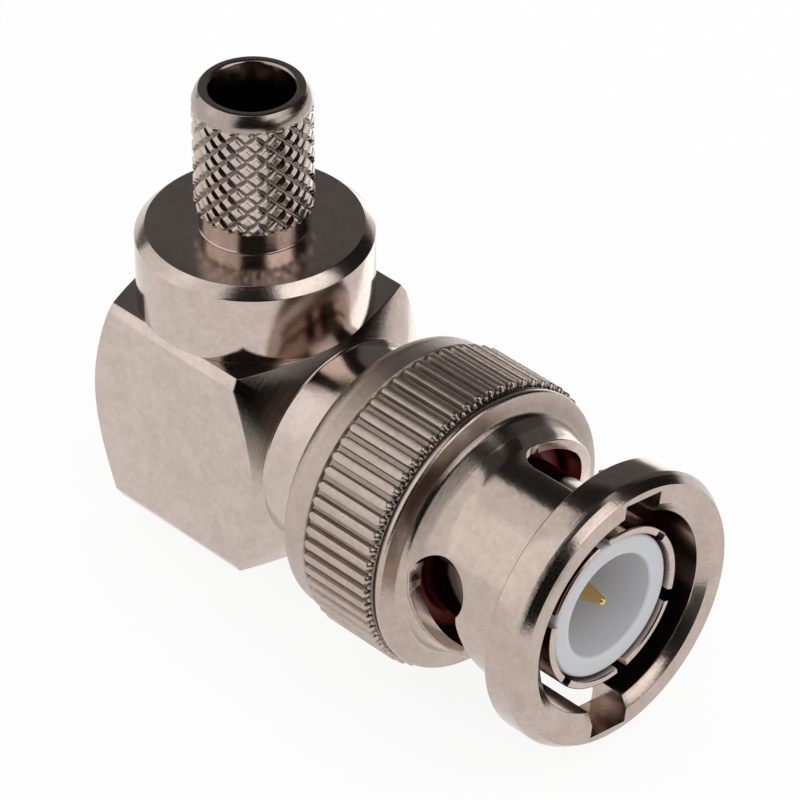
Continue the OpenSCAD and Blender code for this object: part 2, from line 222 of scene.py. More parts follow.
class Shader(Nodes):
    """A principled material."""

    def __init__(self, name, **values):
        self.mat = bpy.data.materials.new(name)
        self.mat.use_nodes = True
        super().__init__(self.mat.node_tree)
        self.bsdf = self.nodes["Principled BSDF"]
        for key, value in values.items():
            self.bsdf.inputs[key.replace("_", " ")].default_value = value
        self.coords = self.node("TexCoord").outputs["Object"]

    def millimetres(self):
        """The place in millimetres from the crossing of the two axes."""
        place = self.node("VectorMath", {0: self.coords, 1: (1 / MM,) * 3}, operation="MULTIPLY")
        ahead = {0: place.outputs[0], 1: (MATING_X, 0, 0)}
        return self.node("VectorMath", ahead, operation="ADD").outputs[0]

    def turned(self, axis):
        """Station, radius and angle about the connector axis X or the stem axis Z."""
        x, y, z = self.node("SeparateXYZ", {0: self.millimetres()}).outputs[:3]
        station, side, up = (x, y, z) if axis == "X" else (z, x, y)
        radius = self.math("SQRT", self.math("ADD", self.math("MULTIPLY", side, side),
                                             self.math("MULTIPLY", up, up)))
        return station, radius, self.math("ARCTAN2", side, up)

    def vector(self, x, y, z=0.0):
        return self.node("CombineXYZ", {0: x, 1: y, 2: z}).outputs[0]

    def zone(self, value, low, high, soft=0.04):
        """1 where a value lies between two limits and 0 elsewhere."""
        rise = self.ramp(value, low - soft, low + soft, 0.0, 1.0)
        return self.math("MULTIPLY", rise, self.ramp(value, high - soft, high + soft, 1.0, 0.0))

    def noise(self, vector, scale, detail=3.0, roughness=0.6):
        return self.node("TexNoise", {"Vector": vector, "Scale": scale, "Detail": detail,
                                      "Roughness": roughness}).outputs["Fac"]

    def bump(self, height, distance):
        return self.node("Bump", {"Height": height, "Distance": distance}).outputs[0]

    def use(self, socket, value):
        self.links.new(value, self.bsdf.inputs[socket])
        return self

    def blend(self, value, first, second):
        mix = self.node("Mix", {"Factor": value}, data_type="RGBA")
        for socket, colour in ((6, first), (7, second)):
            if isinstance(colour, tuple):
                mix.inputs[socket].default_value = (*colour, 1)
            else:
                self.links.new(colour, mix.inputs[socket])
        return mix.outputs[2]

    def tint(self, value, dark, light, painted_shade=None):
        colour = self.blend(value, dark, light)
        # Painted shade: a near-black colour blended in by the given mask
        if painted_shade is not None:
            colour = self.blend(painted_shade, colour, PAINTED_SHADE)
        return self.use("Base Color", colour)


NICKEL_DARK = (0.513, 0.422, 0.375)
NICKEL_LIGHT = (0.588, 0.49, 0.442)
# Near-black colour that zones blend in to paint shade and dark reflections into the nickel
PAINTED_SHADE = (0.045, 0.04, 0.035)
ANYWHERE = (-99, 99)
ANGLE_SOFT = 0.25
# Turning lines stay nearly the same round the piece; waves lie slanted across the nut's waist
LINE_TWIST, WAVE_SLANT, WAVE_STRETCH = 0.02, 0.47, 0.12
PATCH_BUMP, CLOUD_BUMP = 0.0012, 0.004


class Zone:
    """A stretch of a turned piece, by stations, radii and angles, and what it adds to the finish.

    With a slope, the stations are measured where the cone of that slope meets the axis. Angles
    are in radians from the top, on a piece about X."""

    def __init__(self, stations=ANYWHERE, radii=ANYWHERE, rough=0.0, lines=0.0, grain=0.0,
                 painted_shade=0.0, soft=0.04, slope=0.0, angles=None):
        self.stations, self.radii, self.angles = stations, radii, angles
        self.soft, self.slope = soft, slope
        self.added = {"rough": rough, "lines": lines, "grain": grain, "painted_shade": painted_shade}

    def mask(self, s, station, radius, angle):
        """1 inside the zone and 0 outside, in the nodes of a shader."""
        if self.slope:
            station = s.math("ADD", station, s.math("MULTIPLY", radius, self.slope))
        inside = s.math("MULTIPLY", s.zone(station, *self.stations, self.soft),
                        s.zone(radius, *self.radii, self.soft))
        if self.angles:
            inside = s.math("MULTIPLY", inside, s.zone(angle, *self.angles, ANGLE_SOFT))
        return inside


def nickel(name, axis, roughness=0.13, lines=0.0015, grain=0.0012, waves=0.0, shade=(1, 1, 1),
           zones=()):
    """Nickel plate with turning lines, sandy grain and faint clouds.

    Lines, grain and waves are heights in millimetres. Zones add to the finish where they lie."""
    s = Shader(name, Metallic=1.0, Roughness=roughness)
    station, radius, angle = s.turned(axis)
    mm = s.millimetres()
    cloud = s.noise(mm, scale=0.8, detail=4, roughness=0.6)
    patch = s.noise(mm, scale=3.2, detail=3, roughness=0.6)
    along_lines = s.vector(station, radius, s.math("MULTIPLY", angle, LINE_TWIST))
    line = s.noise(along_lines, scale=11.0, detail=5, roughness=0.8)
    sand = s.noise(mm, scale=8.0, detail=3, roughness=0.75)

    finish = {"rough": roughness, "lines": lines, "grain": grain, "painted_shade": 0.0}
    for zone in zones:
        mask = zone.mask(s, station, radius, angle)
        for key, amount in zone.added.items():
            if amount:
                finish[key] = s.math("ADD", s.math("MULTIPLY", mask, amount), finish[key])

    # Clouds and patches go from the darker to the lighter nickel; sand and lines vary its gloss
    mottle = s.math("ADD", s.math("MULTIPLY", cloud, 0.6), s.math("MULTIPLY", patch, 0.4))
    dark, light = (tuple(np.multiply(colour, shade)) for colour in (NICKEL_DARK, NICKEL_LIGHT))
    # Zones that paint shade and dark reflections blend the near-black colour in here
    painted_shade = finish["painted_shade"] if any(zone.added["painted_shade"] for zone in zones) else None
    s.tint(s.ramp(mottle, 0.38, 0.62, 0.0, 1.0), dark, light, painted_shade)
    fine = s.math("ADD", s.ramp(sand, 0.3, 0.7, 0.75, 1.25), s.ramp(line, 0.3, 0.7, -0.2, 0.2))
    s.use("Roughness", s.math("MULTIPLY", finish["rough"], fine))

    reliefs = [(line, finish["lines"]), (sand, finish["grain"]), (patch, PATCH_BUMP),
               (cloud, CLOUD_BUMP)]
    if waves:
        slant = s.math("ADD", s.math("MULTIPLY", angle, WAIST_R),
                       s.math("MULTIPLY", station, WAVE_SLANT))
        across = s.vector(slant, s.math("MULTIPLY", station, WAVE_STRETCH))
        reliefs.append((s.noise(across, scale=2.4, detail=2, roughness=0.5), waves))
    height = 0.0
    for pattern, depth in reliefs:
        height = s.math("ADD", s.math("MULTIPLY", pattern, depth), height)
    s.use("Normal", s.bump(height, MM))
    return s.mat


def dress(obj, material, body, slot, *nodes):
    """Gives a piece its material and its body, and hides the solids that it stands for; the slot
    is not used.
    """
    obj.data.materials.clear()
    obj.data.materials.append(material)
    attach(obj, body)
    if nodes:
        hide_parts(*nodes)
    return obj


def paint(node, material):
    obj = frame["nodes"][node]
    obj.data.materials.clear()
    obj.data.materials.append(material)


# Camera: fitted to the circles and edges of the photographed object

LENS, SENSOR, NEAR_CLIP_M, FAR_CLIP_M = 228.83, 36.0, 0.01, 5
CAMERA_AZIMUTH, CAMERA_ELEVATION, CAMERA_ROLL = 45.27, 37.25, -0.02
CAMERA_RIGHT, CAMERA_UP, CAMERA_BACK = 6.616, -0.591, 237.552


def camera():
    data = bpy.data.cameras.new("camera")
    data.lens, data.sensor_width = LENS, SENSOR
    data.clip_start, data.clip_end = NEAR_CLIP_M, FAR_CLIP_M
    azimuth, elevation = math.radians(CAMERA_AZIMUTH), math.radians(CAMERA_ELEVATION)
    roll = math.radians(CAMERA_ROLL)
    back = Vector((math.sin(azimuth) * math.cos(elevation),
                   -math.cos(azimuth) * math.cos(elevation), math.sin(elevation)))
    level = Vector((math.cos(azimuth), math.sin(azimuth), 0))
    upright = back.cross(level)
    right = level * math.cos(roll) + upright * math.sin(roll)
    up = upright * math.cos(roll) - level * math.sin(roll)
    place = right * CAMERA_RIGHT + up * CAMERA_UP + back * CAMERA_BACK
    place = (place - Vector((MATING_X, 0, 0))) * MM
    cam = link(bpy.data.objects.new("camera", data))
    cam.matrix_world = Matrix.Translation(place) @ Matrix((right, up, back)).transposed().to_4x4()
    bpy.context.scene.camera = cam


camera()


# Coupling nut: turned outline, ribs raised from it, two bayonet slots cut through it

NUT_REAR, NUT_FRONT = 8.43, 23.53
LIP_R, BORE_R, LEAD_R, LEAD_LEN = 5.15, 5.035, 5.57, 0.37
CAVITY_R, CAVITY_X0, CAVITY_X1 = 6.05, 9.55, 13.9
SHOULDER_R, SHOULDER_TOP_R, SHOULDER_ROUND = 6.92, 7.08, 1.02
SHOULDER_X0, SHOULDER_X1 = 9.45, 10.36
RIB_COUNT, RIB_X0, RIB_X1 = 60, 10.5, 14.5
RIB_ROOT, RIB_TIP, RIB_HALF, RIB_CROWN, RIB_WALL = 6.93, 7.22, 0.23, 0.045, (-0.04, 0.05)
RIB_SINK, RIB_REACH, SLEEVE_IN = 0.03, 0.1, 6.3
BEAD_X, BEAD_R, BEAD_H, BEADS_X0 = 14.49, 0.16, 0.15, 14.3
GROOVE_X0, GROOVE_X1, GROOVE_R = 14.64, 14.86, 6.8
COLLAR_X, COLLAR_R, COLLAR_EDGE, FACE_DEG = 15.1, 6.98, 0.16, 78
WAIST_R, FOOT_ROUND, TAPER_DEG, TAPER_X1 = 5.47, 0.42, 17, 16.85
RING_R, RING_X0 = 6.825, 21.47
# The ring's front edge: distances behind the front and below the rim, and fillets
RING_EDGE = [(0.62, 0, 0.12), (0.4, 0.09, 0.07), (0.1, 0.29, 0.04), (0, 0.36, 0.04)]
SLOT_R, SLOT_FLAT = 6.2, 6.12
ENTRY_W, ENTRY_DEG, ENTRY_REAR = 2.25, 9, 16.95
LOCK_TURN, LOCK_R, LOCK_X = 91.5, 1.48, 17.2
SLOT_FRONT_START, SLOT_FRONT_END, NECK_SHARE = 20.2, 18.34, 0.84
SLOT_REAR_START, SLOT_REAR_END, REAR_RAMP = 17.0, LOCK_X - LOCK_R + 0.05, (0.36, 0.9)
# The slots' outer edges are rounded, less and less towards the ring
EDGE, EDGE_DOWN, EDGE_OUT, EDGE_TOP, EDGE_FADE = 0.05, 1.2, 1.6, 1.7, (20.9, 21.4)
FLARE_STEP, NUT_STEP, NUT_COLUMNS, TAPER_FILLET = 6, 9, 288, 2.0


def foot_corner():
    """Where the collar's front face meets the taper that runs down to the waist."""
    face, taper = math.tan(math.radians(FACE_DEG)), math.tan(math.radians(TAPER_DEG))
    x = (COLLAR_R - WAIST_R + COLLAR_X * face - TAPER_X1 * taper) / (face - taper)
    return x, WAIST_R + (TAPER_X1 - x) * taper


FLARE = rounded([(COLLAR_X, COLLAR_R), (*foot_corner(), FOOT_ROUND),
                 (TAPER_X1, WAIST_R, TAPER_FILLET), (RING_X0, WAIST_R)], step=FLARE_STEP)


def flare_r(x):
    """Radius of the nut's outside from the collar's front edge to the ring."""
    return np.interp(x, FLARE[:, 0], FLARE[:, 1])


def rib_height(x, a):
    """Height of the round-ended ribs, and of the small bead at the front of each groove."""
    pitch = 2 * math.pi / RIB_COUNT
    side = np.abs((a + pitch / 2) % pitch - pitch / 2) * RIB_ROOT
    middle, half = (RIB_X0 + RIB_X1) / 2, (RIB_X1 - RIB_X0) / 2 - RIB_HALF
    along = np.maximum(np.abs(x - middle) - half, 0)
    depth = RIB_HALF - np.hypot(side, along)
    wall = smoothstep(*RIB_WALL, depth)
    crown = -RIB_CROWN * (1 - np.clip(depth, 0, RIB_HALF) / RIB_HALF) ** 2
    gap = np.hypot(math.pi * RIB_ROOT / RIB_COUNT - side, x - BEAD_X)
    bead = np.clip(1 - (gap / BEAD_R) ** 2, 0, 1) ** 1.5 * BEAD_H
    return np.maximum(wall * (RIB_TIP - RIB_ROOT + crown), bead)


def nut_shape(x, a, r):
    on_rib = (x > RIB_X0 - RIB_REACH) & (x < RIB_X1 + RIB_REACH) & (r > SLEEVE_IN + 0.05)
    return np.where(on_rib, np.maximum(r, RIB_ROOT + rib_height(x, a)), r)


def ribbed_sleeve():
    """The ribs and the ground between them, sunk into the turned nut.

    Rows are close at the ribs' ends and columns at their walls, where the shape bends."""
    rear, front = RIB_X0 - 0.06, GROOVE_X0 + 0.01
    outline = rounded([(rear, SLEEVE_IN), (rear, RIB_ROOT), (front, RIB_ROOT, 0.03),
                       (front + 0.02, SLEEVE_IN)], step=30)
    rear_rows, front_rows = RIB_X0 + np.arange(-1, 8) * 0.045, RIB_X1 + np.arange(-8, 3) * 0.04
    rows = np.concatenate([rear_rows, np.arange(11.2, 14.2, 0.75), front_rows])
    on_rib, in_groove = np.array([0.6, 1.2, 1.55, 1.9, 2.15, 2.45]), (2.72, 3.0, 3.28)
    columns = np.radians([*-on_rib[::-1], 0, *on_rib, *in_groove])
    angles = np.concatenate([columns + i * 2 * math.pi / RIB_COUNT for i in range(RIB_COUNT)])
    return lathe("ribs", refined(outline, rows, RIB_ROOT - 0.01), angles, "X", nut_shape)


def nut_blank():
    """The turned nut with its ribs, before the slots are cut."""
    ring_edge = [(NUT_FRONT - back, RING_R - down, fillet) for back, down, fillet in RING_EDGE]
    outline = rounded([
        (NUT_REAR, LIP_R, 0.08), (NUT_REAR, SHOULDER_R, SHOULDER_ROUND),
        (SHOULDER_X0, SHOULDER_R, 0.6), (SHOULDER_X1, SHOULDER_TOP_R, 0.06),
        (RIB_X0 - 0.02, RIB_ROOT - RIB_SINK, 0.04), (GROOVE_X0, RIB_ROOT - RIB_SINK),
        (GROOVE_X0 + 0.06, GROOVE_R, 0.02), (GROOVE_X1 - 0.03, GROOVE_R, 0.02),
        (GROOVE_X1, COLLAR_R, 0.04), (COLLAR_X, COLLAR_R, COLLAR_EDGE),
        (*foot_corner(), FOOT_ROUND), (TAPER_X1, WAIST_R, TAPER_FILLET), (RING_X0, WAIST_R, 0.22),
        (RING_X0, RING_R, 0.1), *ring_edge, (NUT_FRONT, LEAD_R, 0.05),
        (NUT_FRONT - LEAD_LEN, BORE_R, 0.06), (CAVITY_X1, BORE_R, 0.05), (CAVITY_X1, CAVITY_R),
        (CAVITY_X0, CAVITY_R), (CAVITY_X0, LIP_R)], step=NUT_STEP)
    outline = refined(outline, np.arange(16.9, 21.3, 0.4), WAIST_R - 0.01)
    nut = lathe("coupling_nut_turned", outline, turns(NUT_COLUMNS))
    return boolean(nut, ribbed_sleeve(), "UNION")


def cutter_layers(x):
    """Radii and offsets of a slot cutter's layers, which open out over the rounded outer edge."""
    surface = np.minimum(flare_r(x), SLOT_R - 0.1)
    fade = 1 - smoothstep(*EDGE_FADE, x)
    layers = [(np.full_like(x, BORE_R - 0.6), np.zeros_like(x))]
    for q in np.radians([0, 22.5, 45, 67.5, 90]):
        down, out = 1 - math.sin(q), 1 - math.cos(q)
        layers.append((surface - EDGE * down * EDGE_DOWN, fade * EDGE * EDGE_OUT * out))
    layers.append((surface + 0.02, fade * EDGE * EDGE_TOP))
    return layers


def prism_from(name, rings):
    """Joins closed rings of points into one solid with flat ends."""
    rings = np.array(rings)
    k, n = rings.shape[:2]
    ends = [list(range(n)), list(range((k - 1) * n, k * n))]
    faces = quads(k, n, close_rows=False).tolist() + ends
    return new_object(name, rings.reshape(-1, 3), faces, "X")


def directions_at(deg):
    """The outward and the sideways direction at an angle round the connector axis."""
    a = math.radians(deg)
    return np.array([0, math.sin(a), math.cos(a)]), np.array([0, math.cos(a), -math.sin(a)])


def radial_cutter(name, deg, outline, directions):
    """A cutter along a radius, with an outline of (station, sideways) points."""
    radial, side = directions_at(deg)
    x, t = outline[:, 0], outline[:, 1]
    rings = []
    for r, out in cutter_layers(x):
        px, pt = x + directions[:, 0] * out, t + directions[:, 1] * out
        h = np.sqrt(r ** 2 - pt ** 2)
        rings.append(px[:, None] * (1, 0, 0) + h[:, None] * radial + pt[:, None] * side)
    last = rings[-1] - (rings[-1] @ radial)[:, None] * radial + SLOT_FLAT * radial
    return prism_from(name, rings + [last])


def helix_cutter(name, turn_deg, steps=72):
    """The slot's stretch between the entry groove and the lock hole."""
    rings = []
    for i in range(steps + 1):
        t = i / steps
        radial = directions_at(turn_deg + ENTRY_DEG + LOCK_TURN * t)[0]
        rear = float(np.interp(t, REAR_RAMP, (SLOT_REAR_START, SLOT_REAR_END)))
        front = float(np.interp(t, (0, NECK_SHARE), (SLOT_FRONT_START, SLOT_FRONT_END)))
        low = cutter_layers(np.array([rear]))
        high = cutter_layers(np.array([front]))
        left = [(rear - o[0], r[0]) for r, o in low] + [(rear - low[-1][1][0], SLOT_R)]
        right = [(front + o[0], r[0]) for r, o in high] + [(front + high[-1][1][0], SLOT_R)]
        rings.append([np.array([x, 0, 0]) + r * radial for x, r in left + right[::-1]])
    return prism_from(name, rings)


def entry_outline():
    """The entry groove's outline with its round rear end, and the way outward at each point."""
    arc, half = np.radians(np.linspace(90, 270, 37)), ENTRY_W / 2
    round_end = np.stack([np.cos(arc), np.sin(arc)], 1)
    stations = np.arange(ENTRY_REAR + half + 0.4, NUT_FRONT + 1, 0.4)
    n = len(stations)
    sides = [(x, -half) for x in stations] + [(x, half) for x in stations[::-1]]
    outline = np.concatenate([round_end * half + (ENTRY_REAR + half, 0), sides])
    return outline, np.concatenate([round_end, [(0, -1)] * n, [(0, 1)] * n])


def coupling_nut():
    nut = nut_blank()
    circle = np.stack([np.cos(turns(96)), np.sin(turns(96))], 1)
    for half_turn in (0, 180):
        entry, lock = ENTRY_DEG + half_turn, ENTRY_DEG + LOCK_TURN + half_turn
        boolean(nut, radial_cutter("entry", entry, *entry_outline()))
        boolean(nut, helix_cutter("helix", half_turn))
        boolean(nut, radial_cutter("lock", lock, circle * LOCK_R + (LOCK_X, 0), circle))
    smooth(nut, 42)
    return nut


# Body block: a square with chamfered long edges, turned to a cone at both ends. Each column of
# points round the connector axis has an outline of its own

BLOCK_HALF, BLOCK_TOP, BLOCK_BOTTOM, BLOCK_EDGE_Y, BLOCK_EDGE_Z = 5.5, 5.46, 5.7, 0.3, 0.5
BLOCK_FRONT, BLOCK_REAR, END_CONE = 5.42, 5.3, math.tan(math.radians(30.5))
NECK_R, NECK_END = 5.07, 11.0
CONE_X = BLOCK_FRONT + END_CONE * BLOCK_HALF
CAP_R, CAP_T = 4.3, 1.2
REAR_FLAT = BLOCK_REAR + END_CONE * (BLOCK_HALF - CAP_R)
CHAMBER_R, CHAMBER_END, SHANK_R = 3.3, 4.0, 3.9
BASE_R, BASE_TOP, BASE_EDGE, SPIGOT_R, SPIGOT_Z0 = 5.53, 9.48, 0.5, 4.0, 4.4
STEM_SEAT, STEM_NECK_R, STEM_BORE_R = 5.0, 2.57, 1.99
LONG_EDGE_ROUND, END_EDGE_ROUND, SIDE_STEP = 0.07, 0.09, 0.32


def block_section():
    """Angle and radius of points round the chamfered square, with its edges slightly rounded."""
    right = [(BLOCK_HALF - BLOCK_EDGE_Y, BLOCK_TOP), (BLOCK_HALF, BLOCK_TOP - BLOCK_EDGE_Z),
             (BLOCK_HALF, BLOCK_EDGE_Z - BLOCK_BOTTOM), (BLOCK_HALF - BLOCK_EDGE_Y, -BLOCK_BOTTOM)]
    corners = right + [(-y, z) for y, z in right[::-1]]
    ring = rounded([(y, z, LONG_EDGE_ROUND) for y, z in corners], step=11)
    out = []
    for p, q in zip(ring, np.roll(ring, -1, 0)):
        n = max(1, int(np.linalg.norm(q - p) / SIDE_STEP))
        out += [p + (q - p) * k / n for k in range(n)]
    out = np.array(out)
    return np.arctan2(out[:, 0], out[:, 1]), np.hypot(out[:, 0], out[:, 1])


def block_turned():
    """The block with its chamber and neck, as a grid of outline points by columns."""
    angles, radii = block_section()
    neck_x = BLOCK_FRONT + END_CONE * (BLOCK_HALF - NECK_R)
    columns = []
    for side_r in radii:
        run = END_CONE * (side_r - BLOCK_HALF)
        columns.append(rounded([
            (-REAR_FLAT, CAP_R, 0.05), (run - BLOCK_REAR, side_r, END_EDGE_ROUND),
            (BLOCK_FRONT - run, side_r, END_EDGE_ROUND), (neck_x, NECK_R, 0.12),
            (NECK_END, NECK_R, 0.1), (NECK_END, SHANK_R), (CHAMBER_END, SHANK_R),
            (CHAMBER_END, CHAMBER_R), (CAP_T - REAR_FLAT, CHAMBER_R),
            (CAP_T - REAR_FLAT, CAP_R)], step=15))
    grid = np.array(columns).transpose(1, 0, 2)
    count, m = grid.shape[:2]
    x, r = grid[..., 0].ravel(), grid[..., 1].ravel()
    a = np.tile(angles, count)
    v = np.stack([x, r * np.sin(a), r * np.cos(a)], 1)
    return new_object("body_block_turned", v, quads(count, m), "X")


def body_block():
    block = block_turned()
    for name, r, z0 in (("pocket", SPIGOT_R, SPIGOT_Z0), ("bore", STEM_BORE_R, 0)):
        outline = [(z0, 0), (z0, r), (BASE_TOP, r), (BASE_TOP, 0)]
        boolean(block, lathe(name, outline, turns(160), "Z"))
    smooth(block, 25)
    return block


def stem_base():
    base = lathe("stem_base_turned", rounded([
        (SPIGOT_Z0, STEM_BORE_R), (SPIGOT_Z0, SPIGOT_R), (BLOCK_TOP, SPIGOT_R),
        (BLOCK_TOP, BASE_R, 0.04), (BASE_TOP - BASE_EDGE, BASE_R, 0.06),
        (BASE_TOP, BASE_R - BASE_EDGE, 0.05), (BASE_TOP, STEM_NECK_R), (STEM_SEAT, STEM_NECK_R),
        (STEM_SEAT, STEM_BORE_R)]), turns(288), "Z")
    smooth(base, 25)
    return base


def rear_cap():
    cap = lathe("rear_cap_turned", rounded([
        (-REAR_FLAT, 0), (-REAR_FLAT, CAP_R, 0.12), (CAP_T - REAR_FLAT, CAP_R, 0.05),
        (CAP_T - REAR_FLAT, 0)]), turns(192))
    smooth(cap, 28)
    return cap


# Crimp stem: plain neck, soft diamond knurl and rounded nose

KNURL_STARTS, KNURL_PITCH, KNURL_Z0, KNURL_Z1 = 19, 0.93, 10.55, 16.05
KNURL_CROSSING_Z, KNURL_TURN, KNURL_STEPS = 15.93, 0.121, 24
KNURL_TIP, KNURL_ROOT, GROOVE_SHARE, GROOVE_DEEPEST = 2.77, 2.58, 0.25, 0.9
STEM_TOP, STEM_RIM_R, NOSE_ROWS = 16.9, 2.41, 14
# A fine raised line round the neck, just above the base: stations and heights
NECK_LINE = [(9.42, 0), (9.44, 0), (9.5, 0.04), (9.53, 0.012), (9.6, 0)]


def knurl_shape(z, a, r):
    """Two hands of V grooves, fading out over the nose and cut off square at the neck."""
    turn = a * KNURL_STARTS / (2 * math.pi) + KNURL_TURN
    rise = (z - KNURL_CROSSING_Z) / KNURL_PITCH
    depth = np.zeros_like(r)
    for hand in (1, -1):
        phase = turn + hand * rise
        near = np.abs(phase - np.round(phase))
        depth = np.maximum(depth, np.clip(1 - near / GROOVE_SHARE, 0, GROOVE_DEEPEST))
    fade = 1 - smoothstep(KNURL_CROSSING_Z + 0.03, KNURL_CROSSING_Z + 0.3, z)
    inside = (z > KNURL_Z0 - 1e-6) & (z < KNURL_Z1 + 0.4) & (r > KNURL_ROOT + 0.01)
    return np.where(inside, r - depth * fade * (KNURL_TIP - KNURL_ROOT), r)


def nose_rows():
    """The nose's round, from the end of the knurl to the rim."""
    height, inward = STEM_TOP - KNURL_Z1, KNURL_TIP - STEM_RIM_R
    r = (height ** 2 + inward ** 2) / (2 * inward)
    rise = np.linspace(0, math.asin(height / r), NOSE_ROWS)
    return [(KNURL_Z1 + r * math.sin(q), KNURL_TIP - r * (1 - math.cos(q))) for q in rise]


def crimp_stem():
    seat = [(STEM_SEAT, STEM_BORE_R), (STEM_SEAT, STEM_NECK_R)]
    neck = [(z, STEM_NECK_R + h) for z, h in NECK_LINE]
    neck += [(KNURL_Z0 - 0.06, STEM_NECK_R), (KNURL_Z0 - 0.02, STEM_NECK_R),
             (KNURL_Z0, KNURL_TIP - 0.06)]
    row_h = KNURL_PITCH / KNURL_STEPS
    row_count = int((KNURL_CROSSING_Z - KNURL_Z0) / row_h)
    rows = [(KNURL_CROSSING_Z - i * row_h, KNURL_TIP) for i in range(row_count - 1, -3, -1)]
    rim = [(STEM_TOP - 0.02, STEM_RIM_R + 0.03), (STEM_TOP, STEM_RIM_R - 0.01),
           (STEM_TOP, STEM_BORE_R + 0.12), (STEM_TOP - 0.03, STEM_BORE_R + 0.05),
           (STEM_TOP - 0.12, STEM_BORE_R)]
    bore = [(z, STEM_BORE_R) for z in (14.0, 11.0, 8.0)]
    outline = seat + neck + rows + nose_rows()[:-1] + rim + bore
    columns = turns(KNURL_STARTS * KNURL_STEPS)
    stem = lathe("crimp_stem_knurled", outline, columns, "Z", knurl_shape)
    smooth(stem, 40)
    return stem


# Contacts, insulators and gasket

FLANGE_R, FLANGE_X0, FLANGE_X1 = 5.9, 12.2, 13.8
SLEEVE_R, FINGER_BORE_R, FINGER_STEP, FINGER_ROOT = 4.05, 3.68, 15.0, 15.6
INSULATOR_R, INSULATOR_BACK, INSULATOR_FRONT = 3.57, 9.0, 22.59
RECESS_R, RECESS_X0, SHANK_BORE_R = 2.58, 17.0, 3.2
FINGERS, SAW_W, SAW_DEG, SAW_IN, SAW_OUT = 6, 0.62, 50, 2.9, 4.9
PIN_R, PIN_STEP, PIN_TIP, PIN_CONE, PIN_END_R, CORE_R = 0.675, 14.0, 22.22, 2.2, 0.17, 1.0
PIN_BACK, SOLDER_R, CUP_R, CUP_Z0 = 1.6, 0.85, 0.45, -0.3
GASKET_R, GASKET_T = 4.95, 1.2


def outer_contact():
    """The turned sleeve, whose front is sawn into fingers."""
    sleeve = lathe("outer_contact_turned", rounded([
        (CHAMBER_END, SHANK_BORE_R), (CHAMBER_END, SHANK_R, 0.1), (NECK_END, SHANK_R),
        (NECK_END, NECK_R, 0.06), (FLANGE_X0, NECK_R), (FLANGE_X0, FLANGE_R, 0.06),
        (FLANGE_X1, FLANGE_R, 0.06), (FLANGE_X1, SLEEVE_R), (MATING_X, SLEEVE_R, 0.1),
        (MATING_X, FINGER_BORE_R, 0.09), (FINGER_STEP, FINGER_BORE_R), (FINGER_STEP, INSULATOR_R),
        (INSULATOR_BACK, INSULATOR_R), (INSULATOR_BACK, SHANK_BORE_R)]), turns(288))
    corners = ((SAW_IN, -1), (SAW_OUT, -1), (SAW_OUT, 1), (SAW_IN, 1))
    for i in range(FINGERS):
        radial, side = directions_at(SAW_DEG + i * 360 / FINGERS)
        cut = [[np.array([x, 0, 0]) + h * radial + s * SAW_W / 2 * side for h, s in corners]
               for x in (FINGER_ROOT, MATING_X + 1)]
        boolean(sleeve, prism_from("saw_cut", cut))
    smooth(sleeve, 28)
    return sleeve


def front_insulator():
    piece = lathe("front_insulator_turned", rounded([
        (INSULATOR_BACK, CORE_R), (INSULATOR_BACK, INSULATOR_R),
        (INSULATOR_FRONT, INSULATOR_R, 0.16), (INSULATOR_FRONT, RECESS_R, 0.14),
        (RECESS_X0, RECESS_R, 0.3), (RECESS_X0, PIN_R), (PIN_STEP, PIN_R),
        (PIN_STEP, CORE_R)]), turns(160))
    smooth(piece)
    return piece


def centre_contact():
    """The pin, its core in the insulator, and its solder end with a hole across it."""
    pin = lathe("centre_contact_turned", rounded([
        (-PIN_BACK, 0), (-PIN_BACK, SOLDER_R, 0.08), (PIN_BACK, SOLDER_R), (PIN_BACK, CORE_R),
        (PIN_STEP, CORE_R), (PIN_STEP, PIN_R), (PIN_TIP - PIN_CONE, PIN_R, 0.8),
        (PIN_TIP, PIN_END_R, 0.13), (PIN_TIP, 0)], step=8), turns(96))
    boolean(pin, lathe("cup", [(CUP_Z0, 0), (CUP_Z0, CUP_R), (2, CUP_R), (2, 0)], turns(64), "Z"))
    smooth(pin)
    return pin


def gasket():
    ring = lathe("gasket_moulded", rounded([
        (FLANGE_X1, SLEEVE_R), (FLANGE_X1, GASKET_R), (FLANGE_X1 + GASKET_T, GASKET_R, 0.3),
        (FLANGE_X1 + GASKET_T, SLEEVE_R, 0.2)]), turns(144))
    smooth(ring)
    return ring


# The model

# A station behind and a radius outside the whole part
BEHIND, OUTSIDE = -9, 9
KNURLED, RIBBED = (KNURL_Z0, KNURL_Z1), (RIB_X0 - RIB_REACH, RIB_X1 + RIB_REACH)
FRONT_CONE, REAR_CONE = (BLOCK_FRONT - 1.4, BLOCK_FRONT + 0.6), (BEHIND, 1.4 - BLOCK_REAR)

NICKEL_BODY = nickel("nickel_block", "X", roughness=0.11, lines=0.0003, zones=[
    Zone(FRONT_CONE, (NECK_R + 0.05, OUTSIDE), rough=0.03, lines=0.0035),
    # Painted dark reflection: a sector of the front cone, from the top towards -Y, darkened
    Zone((CONE_X - 0.06, CONE_X + 0.06), (NECK_R + 0.05, OUTSIDE), lines=0.003, painted_shade=0.8,
         slope=END_CONE, angles=(-1.3, 0.5)),
    Zone(REAR_CONE, (CAP_R, OUTSIDE), rough=0.03, lines=0.0035),
    Zone((BLOCK_FRONT + 0.3, NECK_END + 1), rough=0.01, lines=0.001)])
NICKEL_BASE = nickel("nickel_base", "Z", roughness=0.12, lines=0.001, zones=[
    Zone((BASE_TOP - BASE_EDGE, BASE_TOP - 0.02), (BASE_R - BASE_EDGE, OUTSIDE), rough=0.04,
         lines=0.0025, grain=0.001),
    Zone((BASE_TOP - 0.02, BASE_TOP + 1), rough=0.03, lines=0.003),
    Zone((BLOCK_TOP - 1, BASE_TOP - BASE_EDGE), lines=0.0012)])
NICKEL_CAP = nickel("nickel_cap", "X", roughness=0.14, lines=0.003)
